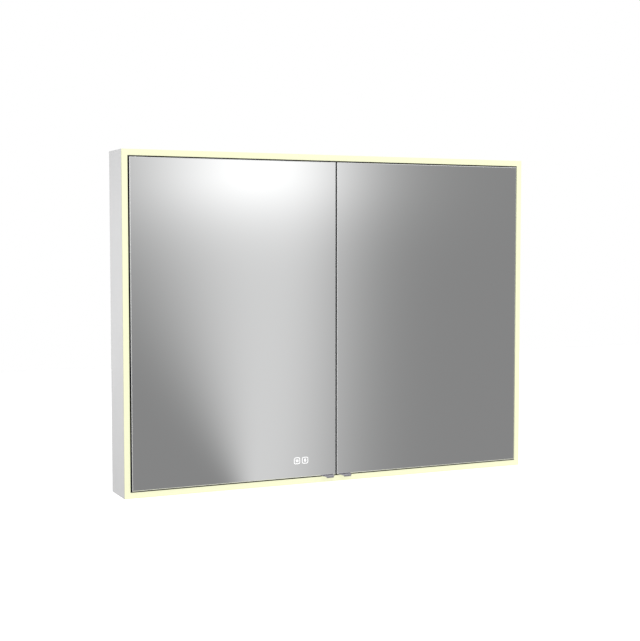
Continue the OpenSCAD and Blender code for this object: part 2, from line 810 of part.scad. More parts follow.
// Push-in caps over the screwdriver holes
module access_caps() color("white") both_sides() difference() {
    union() {
        rod_y(-fix_x, -fix_z, access_r + 2, panel_front, panel_front + cap_t);
        rod_y(-fix_x, -fix_z, access_r - hole_fit, cavity - 1, panel_front);
    }
    rod_y(-fix_x, -fix_z, access_r - 1.5, cavity - 2, panel_front - 0.2);
}

// ---- Left door ----

// A sheet that fills the door's face less an inset, with a bevel round its front edge
module sheet(inset, v, bevel) {
    x = [door_x0 + inset, door_x1 - inset];
    z = door_z - inset;
    intersection() {
        translate([0, 0, -z]) linear_extrude(2 * z)
            polygon([[x[0], -v[0]], [x[0], -v[1] + bevel], [x[0] + bevel, -v[1]],
                [x[1] - bevel, -v[1]], [x[1], -v[1] + bevel], [x[1], -v[0]]]);
        translate([(x[0] + x[1]) / 2, 0, 0]) along_x(x[1] - x[0])
            polygon([[-v[0], -z], [-v[1] + bevel, -z], [-v[1], -z + bevel],
                [-v[1], z - bevel], [-v[1] + bevel, z], [-v[0], z]]);
    }
}

module front_mirror() color("lightsteelblue") sheet(0, [frame_front, door_front], bevel_w);
module rear_mirror() color("lightsteelblue") sheet(frame_inset, [door_back, frame_back], 0.3);

handle_x = door_x1 - tab_in;
handle_screw_v = (frame_front + frame_back) / 2;
tab_screw_r = 1.5;

module door_frame() {
    x = [door_x0 + frame_inset, door_x1 - frame_inset];
    reach = frame_reach;
    hollow_v = [frame_back + flange_t, frame_front - flange_t];
    color("darkgray") difference() {
        block(x, [frame_back, frame_front], [-frame_z, frame_z]);
        block([x[0] + reach, x[1] - reach], [frame_back - 1, frame_front + 1],
            [-frame_z + reach, frame_z - reach]);
        block([x[0] + web_t, x[1] - web_t], hollow_v, [-frame_z + web_t, frame_z - web_t]);
        both_ends() translate([pivot_x, -pivot_v, frame_z - web_t - 1])
            cylinder(h = web_t + 2, r = pin_r + web_clear);
        for (x = [-1, 1]) translate([handle_x + x * tab_screw_pitch / 2, -handle_screw_v,
            -frame_z - 1]) cylinder(h = web_t + 2, r = tab_screw_r);
    }
}

// The core fills the frame between the two mirrors
module door_core() color("tan") sheet(core_in, [block_v0, block_v1], eps);

module hinge_blocks() color("dimgray") both_ends() difference() {
    block([door_x0 + frame_inset + web_t + door_fit, block_x1], [block_v0, block_v1],
        [frame_z - web_t - door_fit - block_h, frame_z - web_t - door_fit]);
    translate([pivot_x, -pivot_v, frame_z - web_t - block_h - 2])
        cylinder(h = block_h + 4, r = bore_r);
}

// A plate under the frame that comes forward under the mirror as a finger tab with a lip
module tab_outline() {
    f = tab_front / 2;
    r = tab_corner_r;
    polygon([[-tab_root / 2, 0], [tab_root / 2, 0], [f, tab_reach - r], [f - r, tab_reach],
        [r - f, tab_reach], [-f, tab_reach - r]]);
    for (x = [r - f, f - r]) translate([x, tab_reach - r]) circle(r);
}

module handle() {
    top = -door_z - tab_clear;
    root = [handle_x - tab_root / 2, handle_x + tab_root / 2];
    lip_half = tab_front / 2 - tab_corner_r;
    color("rosybrown") difference() {
        union() {
            block(root, [frame_back + 1, frame_front - tab_clear], [top - tab_t, -frame_z]);
            block(root, [frame_back + 1, door_front + eps], [top - tab_t, top]);
            translate([handle_x, -door_front, top]) rotate([180, 0, 0])
                linear_extrude(tab_t) tab_outline();
            block([handle_x - lip_half, handle_x + lip_half],
                [door_front + tab_reach - tab_t, door_front + tab_reach],
                [top - tab_lip, top - tab_t + eps]);
        }
        at_handle_screws() countersink(tab_screw_r, web_t + tab_t + 3);
    }
}

module at_handle_screws()
    for (x = [-1, 1]) translate([handle_x + x * tab_screw_pitch / 2, -handle_screw_v,
        -door_z - tab_clear - tab_t]) rotate([180, 0, 0]) children();

module handle_screws() color("silver") at_handle_screws()
    countersunk(tab_screw_r, tab_t + tab_clear + frame_inset + web_t + 1);

module strike_plates() color("silver") both_ends()
    from_wall(door_back - strike_t, door_back)
        translate([door_x1 - frame_inset - 1 - strike_size[0] / 2, catch_z])
            round_rect(strike_size[0], strike_size[1], 1.5);

module left_front_mirror() difference() {
    front_mirror();
    icons(1);
}
module left_rear_mirror() rear_mirror();
module left_door_frame() door_frame();
module left_door_core() door_core();
module left_hinge_blocks() hinge_blocks();
module left_handle() handle();
module left_handle_screws() handle_screws();
module left_strike_plates() strike_plates();

// ---- Touch controls and demist film, on the left door ----

icon_x = door_x1 - icon_in;
icon_z = -door_z + icon_up;

module icon_ring() difference() {
    round_rect(icon_size, icon_size, 0.28 * icon_size);
    round_rect(icon_size - 2 * icon_line, icon_size - 2 * icon_line,
        0.28 * icon_size - icon_line);
}

// A disc with short rays, for the light
module light_symbol() {
    circle(0.16 * icon_size);
    for (k = [0:7]) rotate(45 * k) translate([0.21 * icon_size, -0.03 * icon_size])
        square([0.09 * icon_size, 0.06 * icon_size]);
}

// A drop, for the demist film
module demist_symbol() {
    r = 0.18 * icon_size;
    translate([0, -0.2 * r]) circle(r);
    polygon([[-0.87 * r, 0.3 * r], [0.87 * r, 0.3 * r], [0, 1.7 * r]]);
}

// Each symbol is etched into the front of the glass. The over value lengthens the cutter.
module icons(over) from_wall(door_front - icon_depth, door_front + over)
    translate([icon_x, icon_z]) {
        icon_ring();
        demist_symbol();
        translate([-icon_pitch, 0]) {
            icon_ring();
            light_symbol();
        }
    }

module touch_icons() color("snow") icons(0);

module touch_board() color("seagreen") from_wall(frame_front - touch_board_size[2], frame_front)
    translate([icon_x - icon_pitch / 2, icon_z])
        square([touch_board_size[0], touch_board_size[1]], center = true);

module demist_film() color("gold") from_wall(frame_front - film_t, frame_front)
    translate([(door_x0 + door_x1) / 2, 0]) round_rect(film_size[0], film_size[1], 8);

// ---- Right door ----

module right_front_mirror() flip_x() front_mirror();
module right_rear_mirror() flip_x() rear_mirror();
module right_door_frame() flip_x() door_frame();
module right_door_core() flip_x() door_core();
module right_hinge_blocks() flip_x() hinge_blocks();
module right_handle() flip_x() handle();
module right_handle_screws() flip_x() handle_screws();
module right_strike_plates() flip_x() strike_plates();

left_side_profile();
right_side_profile();
top_profile();
bottom_profile();
corner_cleats();
carcase_screws();
back_panel();
centre_partition();
left_diffuser();
right_diffuser();
top_diffuser();
bottom_diffuser();
light_boards();
light_chips();
left_upper_shelf();
left_lower_shelf();
right_upper_shelf();
right_lower_shelf();
shelf_pins();
shelf_pin_sleeves();
upper_hinge_plates();
lower_hinge_plates();
hinge_pins();
hinge_washers();
hinge_screws();
catch_housings();
catch_magnets();
door_bumpers();
driver_cover();
light_driver();
terminal_block();
light_lead();
cover_screws();
mains_grommet();
wall_rail();
hook_rail();
lower_wall_brackets();
rail_rivets();
access_caps();
left_front_mirror();
left_rear_mirror();
left_door_frame();
left_door_core();
left_hinge_blocks();
left_handle();
left_handle_screws();
left_strike_plates();
demist_film();
touch_board();
touch_icons();
right_front_mirror();
right_rear_mirror();
right_door_frame();
right_door_core();
right_hinge_blocks();
right_handle();
right_handle_screws();
right_strike_plates();
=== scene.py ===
import json
import math
import bmesh
import bpy
from mathutils import Matrix, Vector


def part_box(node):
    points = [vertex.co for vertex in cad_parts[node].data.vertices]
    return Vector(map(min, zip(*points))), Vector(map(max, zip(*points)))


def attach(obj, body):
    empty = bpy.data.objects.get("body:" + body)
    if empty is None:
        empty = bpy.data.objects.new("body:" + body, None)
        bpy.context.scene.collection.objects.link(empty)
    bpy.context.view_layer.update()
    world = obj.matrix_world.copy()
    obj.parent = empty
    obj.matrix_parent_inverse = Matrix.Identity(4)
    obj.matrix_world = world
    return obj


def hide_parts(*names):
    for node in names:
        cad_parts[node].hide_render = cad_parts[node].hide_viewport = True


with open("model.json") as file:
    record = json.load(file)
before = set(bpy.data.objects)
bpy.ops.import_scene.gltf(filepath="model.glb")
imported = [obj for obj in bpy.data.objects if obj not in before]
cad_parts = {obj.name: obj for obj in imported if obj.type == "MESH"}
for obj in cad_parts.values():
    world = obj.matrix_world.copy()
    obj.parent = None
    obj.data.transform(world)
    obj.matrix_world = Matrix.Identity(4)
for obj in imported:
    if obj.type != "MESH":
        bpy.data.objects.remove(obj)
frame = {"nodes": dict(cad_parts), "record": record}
record = frame["record"]
scene = bpy.context.scene
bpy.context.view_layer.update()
slotOf = {part["node"]: part["material_slot"] for part in record["subparts"]}
bodyOf = {node: body for body, nodes in record["behaviour"]["bodies"].items() for node in nodes}
millimetre = 0.001
axisX, axisY, axisZ = 0, 1, 2


# One wrapper serves shaders, the world and geometry nodes. A wire is a socket that can stand
# in a sum: every operator adds a Math node, and node() makes any other kind.
class Wire:
    def __init__(self, tree, output=None):
        self.tree = tree
        self.output = output

    def node(self, kind, settings=(), sockets=(), output=0):
        made = self.tree.nodes.new(kind)
        for name, value in dict(settings).items():
            if name == "stops":
                setStops(made.color_ramp, value)
            else:
                setattr(made, name, value)
        for key, value in dict(sockets).items():
            if isinstance(value, Wire):
                self.tree.links.new(value.output, made.inputs[key])
            else:
                made.inputs[key].default_value = value
        return Wire(self.tree, made.outputs[output] if len(made.outputs) else None)

    def maths(self, operation, *others):
        terms = dict(enumerate((self, *others)))
        return self.node("ShaderNodeMath", {"operation": operation}, terms)

    def __add__(self, other):
        return self.maths("ADD", other)

    def __sub__(self, other):
        return self.maths("SUBTRACT", other)

    def __rsub__(self, other):
        return self.node("ShaderNodeMath", {"operation": "SUBTRACT"}, {0: other, 1: self})

    def __mul__(self, other):
        return self.maths("MULTIPLY", other)

    def __truediv__(self, other):
        return self.maths("DIVIDE", other)

    def __neg__(self):
        return self * -1

    def __lt__(self, other):
        return self.maths("LESS_THAN", other)

    def __gt__(self, other):
        return self.maths("GREATER_THAN", other)

    def __abs__(self):
        return self.maths("ABSOLUTE")

    __radd__ = __add__
    __rmul__ = __mul__

    def least(self, other):
        return self.maths("MINIMUM", other)

    def most(self, other):
        return self.maths("MAXIMUM", other)

    def parts(self):
        split = self.node("ShaderNodeSeparateXYZ", (), {0: self})
        return [Wire(self.tree, out) for out in split.output.node.outputs]

    # Sockets 6, 7 and 2 are the colour Mix node's A, B and result
    def tinted(self, dark, light):
        return self.node("ShaderNodeMix", {"data_type": "RGBA"}, {0: self, 6: dark, 7: light}, 2)


def setStops(ramp, stops):
    for place, colour in stops[2:]:
        ramp.elements.new(place)
    for element, (place, colour) in zip(ramp.elements, stops):
        element.position = place
        element.color = colour


def grey(level, alpha=1):
    return (level, level, level, alpha)


def shaded(colour, factor):
    return (*[min(1, part * factor) for part in colour[:3]], 1)


# The viewpoint, the studio and the floor. Angles are in degrees and lengths in metres.
viewpoint = {"lens": 71.50, "place": (-1.2569, -2.7104, 0.1805), "turn": 24.956, "tilt": 3.612,
             "farthest": 60}
studio = {
    "firstStrip": 22.8,          # azimuth of one soft strip light, from -Y towards +X
    "stripSpacing": 30,
    "stripShare": 0.4,           # how much of the spacing belongs to a strip's +X side
    "stripHeights": (-12, 4),    # a strip leans and widens between these heights
    "stripLean": 0.056,          # how far it leans towards +X for each degree of height
    "stripGrowth": 0.454,        # how much its left side widens for each degree of height
    "stripLeft": 0.52,           # the left side's width at the lowest of them
    "stripLeast": 1,             # and the least it can be
    "stripRight": 3.9,
    "stripEdge": 2.165,          # a larger edge value makes a harder edge
    "stripLight": 0.415,
    "topPlace": (-0.95, 3.0),    # the bright top of a strip: across from it, and height
    "topWidth": 4.82,
    "topFall": 2.17,
    "topEdge": 1.644,
    "topLight": 0.50,
    "frontLevel": 0.250,
    "backLevel": 0.86,
    "backFrom": (-0.2, 0.35),    # y of a direction, from the front light to the back light
    "steepFrom": (-0.92, -0.5),  # z of a direction, below which the back light fades
}
floorShape = {"height": -1.55, "half": 14, "tint": grey(0.9), "glow": 0.5, "shades": (0.985, 1),
              "drift": 2, "roughness": 0.725, "waver": 0.05}


def buildCamera():
    data = bpy.data.cameras.new("camera")
    data.lens = viewpoint["lens"]
    data.clip_end = viewpoint["farthest"]
    eye = bpy.data.objects.new("camera", data)
    eye.location = viewpoint["place"]
    eye.rotation_euler = (math.radians(90 - viewpoint["tilt"]), 0, -math.radians(viewpoint["turn"]))
    scene.collection.objects.link(eye)
    scene.camera = eye


# Rises softly from 0 at the first value to 1 at the second
def smoothStep(wire, first, second):
    return wire.node("ShaderNodeMapRange", {"interpolation_type": "SMOOTHSTEP"},
                     {"Value": wire, "From Min": first, "From Max": second})


# Soft tall strips stand in a ring in front of the cabinet, each brighter at its top. Behind it
# the studio is an even bright white, which is also what the camera sees past the object.
def buildStudio():
    world = bpy.data.worlds.new("studio")
    scene.world = world
    world.use_nodes = True
    world.node_tree.nodes.clear()
    start = Wire(world.node_tree)
    x, y, z = start.node("ShaderNodeTexCoord", output="Generated").parts()
    azimuth = x.maths("ARCTAN2", -y) * math.degrees(1)
    height = z.maths("ARCSINE") * math.degrees(1)
    spacing, share = studio["stripSpacing"], studio["stripShare"]
    lowest, highest = studio["stripHeights"]
    middle = height.least(highest).most(lowest) * studio["stripLean"] + studio["firstStrip"]
    across = (azimuth - middle).maths("WRAP", spacing * share, spacing * (share - 1))
    leftSide = (height.least(highest) - lowest) * studio["stripGrowth"] + studio["stripLeft"]
    isLeft = across < 0
    width = leftSide.most(studio["stripLeast"]) * isLeft + studio["stripRight"] * (1 - isLeft)
    strip = (-(abs(across) / width).maths("POWER", studio["stripEdge"])).maths("EXPONENT")
    topX, topZ = studio["topPlace"]
    sideways = (across - topX) / studio["topWidth"]
    below = (height - topZ).least(0) / studio["topFall"]
    away = (sideways * sideways + below * below).maths("SQRT")
    top = (-away.maths("POWER", studio["topEdge"])).maths("EXPONENT")
    front = strip * studio["stripLight"] + top * studio["topLight"] + studio["frontLevel"]
    behind = smoothStep(y, *studio["backFrom"]) * smoothStep(z, *studio["steepFrom"])
    level = front * (1 - behind) + behind * studio["backLevel"]
    seen = start.node("ShaderNodeLightPath", output="Is Camera Ray")
    light = start.node("ShaderNodeBackground", (), {
        "Color": grey(1), "Strength": level * (1 - seen) + seen})
    start.node("ShaderNodeOutputWorld", (), {"Surface": light})


lamps = {
    # name: place, aim, width, height, watts
    "leftLamp": ((-1.2, -0.05, 0.10), (-0.5, -0.05, 0.10), 0.3, 0.3, 4.1),
    "topLamp": ((-0.4, -1.6, 2.2), (0, 0, 0), 1.8, 1.2, 26),
    "rightLamp": ((2.2, -1.2, 0.6), (0.2, 0, 0), 1.2, 1.4, 12),
}


def buildLamps():
    for name, (place, aim, width, height, watts) in lamps.items():
        data = bpy.data.lights.new(name, "AREA")
        data.shape = "RECTANGLE"
        data.size, data.size_y, data.energy = width, height, watts
        lamp = bpy.data.objects.new(name, data)
        lamp.location = place
        lamp.rotation_euler = (Vector(aim) - Vector(place)).to_track_quat("-Z", "Y").to_euler()
        lamp.visible_camera = False
        lamp.visible_glossy = False
        scene.collection.objects.link(lamp)


def buildFloor(finish):
    half, level = floorShape["half"], floorShape["height"]
    corners = [(-half, -half, level), (half, -half, level), (half, half, level), (-half, half, level)]
    mesh = bpy.data.meshes.new("floor")
    mesh.from_pydata(corners, [], [(0, 1, 2, 3)])
    mesh.materials.append(finish)
    floor = bpy.data.objects.new("floor", mesh)
    floor.visible_glossy = False
    scene.collection.objects.link(floor)


scene.view_settings.view_transform = "Standard"
buildCamera()
buildStudio()
buildLamps()
print("camera, studio and lamps are in place")


# Finishes. Each function reads Object coordinates in metres and returns a material. In the
# dictionaries a scale is in repeats per metre, a depth, bevel or pitch in millimetres, shades are
# the darkest and lightest factor on the tint, and a waver is how far a pattern moves roughness.
def openMaterial(name):
    made = bpy.data.materials.new(name)
    made.use_nodes = True
    made.node_tree.nodes.clear()
    start = Wire(made.node_tree)
    return made, start, start.node("ShaderNodeTexCoord", output="Object")


# height is the pattern of the bump, if there is one
def closeMaterial(start, sockets, height=None, depth=0.0):
    if height is not None:
        sockets["Normal"] = start.node("ShaderNodeBump", (), {
            "Height": height, "Distance": depth * millimetre})
    shader = start.node("ShaderNodeBsdfPrincipled", (), sockets)
    start.node("ShaderNodeOutputMaterial", (), {"Surface": shader})


def noise(place, scale, detail=2.0, stretch=(1, 1, 1)):
    spot = place.node("ShaderNodeMapping", (), {"Vector": place, "Scale": stretch})
    return place.node("ShaderNodeTexNoise", (), {"Vector": spot, "Scale": scale, "Detail": detail})


# A mix of two patterns, with the first one's share
def mixOf(first, second, share):
    return first * share + second * (1 - share)


# A pattern as shades of one tint
def inShades(pattern, tint, shades):
    dark, light = shades
    return pattern.tinted(shaded(tint, dark), shaded(tint, light))


# A roughness that wavers about its mean
def wavering(mean, *patterns):
    total = mean - sum(waver for pattern, waver in patterns) / 2
    for pattern, waver in patterns:
        total = pattern * waver + total
    return total


# Extruded or rolled metal, with fine lines along one axis and a slow drift of tone
drawnLook = {"stretch": 0.006, "drift": 9, "share": 0.6, "shades": (0.90, 1.08),
             "lineWaver": 0.14, "driftWaver": 0.06, "depth": 0.012}


def drawnMetal(name, tint, roughness, along, metallic=1.0, lines=900):
    made, start, place = openMaterial(name)
    stretch = [1.0, 1.0, 1.0]
    stretch[along] = drawnLook["stretch"]
    line = noise(place, lines, detail=3, stretch=stretch)
    drift = noise(place, drawnLook["drift"])
    closeMaterial(start, {
        "Base Color": inShades(mixOf(line, drift, drawnLook["share"]), tint, drawnLook["shades"]),
        "Roughness": wavering(roughness, (line, drawnLook["lineWaver"]),
                              (drift, drawnLook["driftWaver"])),
        "Metallic": metallic,
    }, line, drawnLook["depth"])
    return made


# Powder coat or enamel, with its fine orange peel
coatLook = {"drift": 6, "share": 0.7, "shades": (0.965, 1.02), "waver": 0.10, "weight": 0.15,
            "gloss": 0.2, "depth": 0.04}


def coatedMetal(name, tint, roughness, peel=420):
    made, start, place = openMaterial(name)
    skin = noise(place, peel, detail=1)
    drift = noise(place, coatLook["drift"])
    closeMaterial(start, {
        "Base Color": inShades(mixOf(drift, skin, coatLook["share"]), tint, coatLook["shades"]),
        "Roughness": wavering(roughness, (skin, coatLook["waver"])),
        "Coat Weight": coatLook["weight"],
        "Coat Roughness": coatLook["gloss"],
    }, skin, coatLook["depth"])
    return made


# Zinc plate: small spangles in slightly different tones, and fine scratches along X
zincLook = {"spangle": 240, "scratch": 700, "stretch": (0.03, 1, 1), "share": 0.55,
            "shades": (0.82, 1.12), "spangleWaver": 0.12, "scratchWaver": 0.14, "depth": 0.008}


def platedSteel(name, tint, roughness):
    made, start, place = openMaterial(name)
    cells = start.node("ShaderNodeTexVoronoi", (),
                       {"Vector": place, "Scale": zincLook["spangle"]}, "Color")
    spangle = cells.parts()[0]
    scratch = noise(place, zincLook["scratch"], detail=3, stretch=zincLook["stretch"])
    closeMaterial(start, {
        "Base Color": inShades(mixOf(spangle, scratch, zincLook["share"]), tint, zincLook["shades"]),
        "Roughness": wavering(roughness, (spangle, zincLook["spangleWaver"]),
                              (scratch, zincLook["scratchWaver"])),
        "Metallic": 1.0,
    }, scratch, zincLook["depth"])
    return made


# Turned, cast or cold-formed small steel parts
turnedLook = {"fine": 2600, "stain": 160, "share": 0.7, "shades": (0.80, 1.1),
              "fineWaver": 0.16, "stainWaver": 0.10, "depth": 0.006}


def turnedSteel(name, tint, roughness):
    made, start, place = openMaterial(name)
    fine = noise(place, turnedLook["fine"])
    stain = noise(place, turnedLook["stain"])
    closeMaterial(start, {
        "Base Color": inShades(mixOf(stain, fine, turnedLook["share"]), tint, turnedLook["shades"]),
        "Roughness": wavering(roughness, (fine, turnedLook["fineWaver"]),
                              (stain, turnedLook["stainWaver"])),
        "Metallic": 1.0,
    }, fine, turnedLook["depth"])
    return made


# Moulded plastic or rubber, with the mould's fine spark texture
mouldLook = {"drift": 30, "share": 0.6, "shades": (0.93, 1.05), "waver": 0.14, "depth": 0.02}


def moulded(name, tint, roughness, grain=1500, clear=0.0):
    made, start, place = openMaterial(name)
    spark = noise(place, grain, detail=1)
    drift = noise(place, mouldLook["drift"])
    closeMaterial(start, {
        "Base Color": inShades(mixOf(drift, spark, mouldLook["share"]), tint, mouldLook["shades"]),
        "Roughness": wavering(roughness, (spark, mouldLook["waver"])),
        "Transmission Weight": clear,
    }, spark, mouldLook["depth"])
    return made


# How far a point is inside the rectangle of a node's face
def borderDistance(place, node):
    low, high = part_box(node)
    x, y, z = place.parts()
    sideways = (x - low.x).least(-(x - high.x))
    upright = (z - low.z).least(-(z - high.z))
    return sideways.least(upright)


# Silvered float glass. The sheet's ground edge is dark green glass with no silver behind it, coloured
# near black partly for the glass and partly as painted shade for the narrow gap beside the door, and
# the polished bevel round its face is a little less silvery.
# The edge colour is near black: the glass's own dark green, darkened further as painted shade for the
# shadow in the gap
mirrorLook = {"silver": (0.93, 0.935, 0.935, 1), "edge": (0.018, 0.024, 0.023, 1), "edgeDepth": 0.05,
              "edgeGrain": 2200, "edgeRoughness": 0.32, "edgeWaver": 0.2, "haze": 0.012,
              "hazeScale": 3.5, "bevel": 1.5, "bevelHaze": 0.35, "bevelRoughness": 0.05}


def mirrorGlass(name, node):
    made, start, place = openMaterial(name)
    border = borderDistance(place, node)
    onEdge = border < mirrorLook["edgeDepth"] * millimetre
    onBevel = (border < mirrorLook["bevel"] * millimetre) * (1 - onEdge)
    haze = noise(place, mirrorLook["hazeScale"], detail=3) * mirrorLook["haze"]
    ground = wavering(mirrorLook["edgeRoughness"],
                      (noise(place, mirrorLook["edgeGrain"]), mirrorLook["edgeWaver"]))
    closeMaterial(start, {
        # Silver on the face; on the edge a near-black colour that is part glass colour and part
        # painted shade
        "Base Color": onEdge.tinted(mirrorLook["silver"], mirrorLook["edge"]),
        "Roughness": haze + ground * onEdge + onBevel * mirrorLook["bevelRoughness"],
        "Metallic": 1 - onEdge - onBevel * mirrorLook["bevelHaze"],
    })
    return made


# The opal strip is lit from behind, and its light leaves only the broad front face
opalLook = {"tint": (0.30, 0.30, 0.235, 1), "light": (0.69, 0.70, 0.45, 1), "sideLight": 0.10,
            "faceDepth": 0.05, "ripple": 0.008, "chipPitch": 25, "drift": 12, "shades": (0.97, 1),
            "frost": 1800, "roughness": 0.45, "waver": 0.1, "depth": 0.008}


def opalGlow(name, node):
    made, start, place = openMaterial(name)
    x, y, z = place.parts()
    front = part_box(node)[0].y
    faces = y < front + opalLook["faceDepth"] * millimetre
    turns = 2 * math.pi / (opalLook["chipPitch"] * millimetre)
    ripple = (x * turns).maths("COSINE") * (z * turns).maths("COSINE") * opalLook["ripple"] + 1
    frost = noise(place, opalLook["frost"], detail=1)
    glow = faces * ripple * (1 - opalLook["sideLight"]) + opalLook["sideLight"]
    closeMaterial(start, {
        "Base Color": inShades(noise(place, opalLook["drift"]), opalLook["tint"], opalLook["shades"]),
        "Roughness": wavering(opalLook["roughness"], (frost, opalLook["waver"])),
        "Emission Color": glow.tinted(grey(0), opalLook["light"]),
        "Emission Strength": 1.0,
    }, frost, opalLook["depth"])
    return made


# Clear shelf glass, and its ground and polished edge
glassLook = {"drift": 5, "shades": (0.985, 1), "waver": 0.01, "index": 1.52}


def shelfGlass(name, tint, roughness, clear):
    made, start, place = openMaterial(name)
    drift = noise(place, glassLook["drift"])
    closeMaterial(start, {
        "Base Color": inShades(drift, tint, glassLook["shades"]),
        "Roughness": drift * glassLook["waver"] + roughness,
        "Transmission Weight": clear,
        "IOR": glassLook["index"],
    })
    return made


# A circuit board: solder mask with rows of tinned pads joined by tracks
boardLook = {"tracks": 160, "trackWidth": 0.05, "trackLength": 0.9, "trackRows": 0.35, "pads": 210,
             "padSize": 0.2, "padScatter": 0.25, "roughness": 0.42, "padGloss": 0.12, "depth": 0.02}


def circuitBoard(name, mask, pad, track):
    made, start, place = openMaterial(name)
    facing = start.node("ShaderNodeMapping", (), {"Vector": place, "Rotation": (math.pi / 2, 0, 0)})
    bricks = start.node("ShaderNodeTexBrick", {"offset": 0.5}, {
        "Vector": facing, "Color1": grey(0), "Color2": grey(0), "Mortar": grey(1),
        "Scale": boardLook["tracks"], "Mortar Size": boardLook["trackWidth"],
        "Brick Width": boardLook["trackLength"], "Row Height": boardLook["trackRows"]})
    tracks = bricks.parts()[0]
    dots = start.node("ShaderNodeTexVoronoi", {"distance": "CHEBYCHEV"}, {
        "Vector": place, "Scale": boardLook["pads"], "Randomness": boardLook["padScatter"]})
    pads = dots < boardLook["padSize"]
    closeMaterial(start, {
        "Base Color": pads.tinted(tracks.tinted(mask, track), pad),
        "Roughness": boardLook["roughness"] - pads * boardLook["padGloss"],
        "Metallic": pads,
    }, pads + tracks, boardLook["depth"])
    return made


# The demist film: amber sheet with printed silver heater tracks
filmLook = {"tracks": 22, "trackEdge": 0.72, "roughness": 0.24, "trackRoughness": 0.2,
            "trackMetal": 0.8, "depth": 0.02}


def heaterFilm(name, film, silver):
    made, start, place = openMaterial(name)
    wave = start.node("ShaderNodeTexWave", {"bands_direction": "X"},
                      {"Vector": place, "Scale": filmLook["tracks"], "Distortion": 0.0}, "Fac")
    track = wave > filmLook["trackEdge"]
    closeMaterial(start, {
        "Base Color": track.tinted(film, silver),
        "Roughness": filmLook["roughness"] + track * filmLook["trackRoughness"],
        "Metallic": track * filmLook["trackMetal"],
    }, track, filmLook["depth"])
    return made


# Kraft honeycomb seen through its facing
combLook = {"cells": 95, "scatter": 0.12, "wall": 9, "fibre": 800, "share": 0.6,
            "shades": (0.62, 1.1), "roughness": 0.85, "waver": 0.1, "fibreRelief": 0.3, "depth": 0.2}


def combCore(name, paper):
    made, start, place = openMaterial(name)
    cells = start.node("ShaderNodeTexVoronoi", {"feature": "DISTANCE_TO_EDGE"}, {
        "Vector": place, "Scale": combLook["cells"], "Randomness": combLook["scatter"]})
    wall = (cells * combLook["wall"]).least(1)
    fibre = noise(place, combLook["fibre"], detail=3)
    closeMaterial(start, {
        "Base Color": inShades(mixOf(wall, fibre, combLook["share"]), paper, combLook["shades"]),
        "Roughness": wavering(combLook["roughness"], (fibre, combLook["waver"])),
    }, wall + fibre * combLook["fibreRelief"], combLook["depth"])
    return made


# The touch symbols and the chips' phosphor: frosted, with a little light behind
frostLook = {"grain": 3000, "shades": (0.92, 1), "lightShades": (0.9, 1), "roughness": 0.6,
             "waver": 0.2, "depth": 0.01}


def litFrost(name, tint, level):
    made, start, place = openMaterial(name)
    frost = noise(place, frostLook["grain"])
    closeMaterial(start, {
        "Base Color": inShades(frost, tint, frostLook["shades"]),
        "Roughness": wavering(frostLook["roughness"], (frost, frostLook["waver"])),
        "Emission Color": inShades(frost, tint, frostLook["lightShades"]),
        "Emission Strength": level,
    }, frost, frostLook["depth"])
    return made


# The floor shows only from above, so that it hides nothing from a low viewpoint
def paleFloor(name):
    made, start, place = openMaterial(name)
    drift = noise(place, floorShape["drift"], detail=3)
    shader = start.node("ShaderNodeBsdfPrincipled", (), {
        "Base Color": inShades(drift, floorShape["tint"], floorShape["shades"]),
        "Roughness": wavering(floorShape["roughness"], (drift, floorShape["waver"])),
        "Emission Color": grey(1),
        "Emission Strength": floorShape["glow"],
    })
    under = start.node("ShaderNodeNewGeometry", output="Backfacing")
    clear = start.node("ShaderNodeBsdfTransparent")
    mixed = start.node("ShaderNodeMixShader", (), {0: under, 1: shader, 2: clear})
    start.node("ShaderNodeOutputMaterial", (), {"Surface": mixed})
    return made


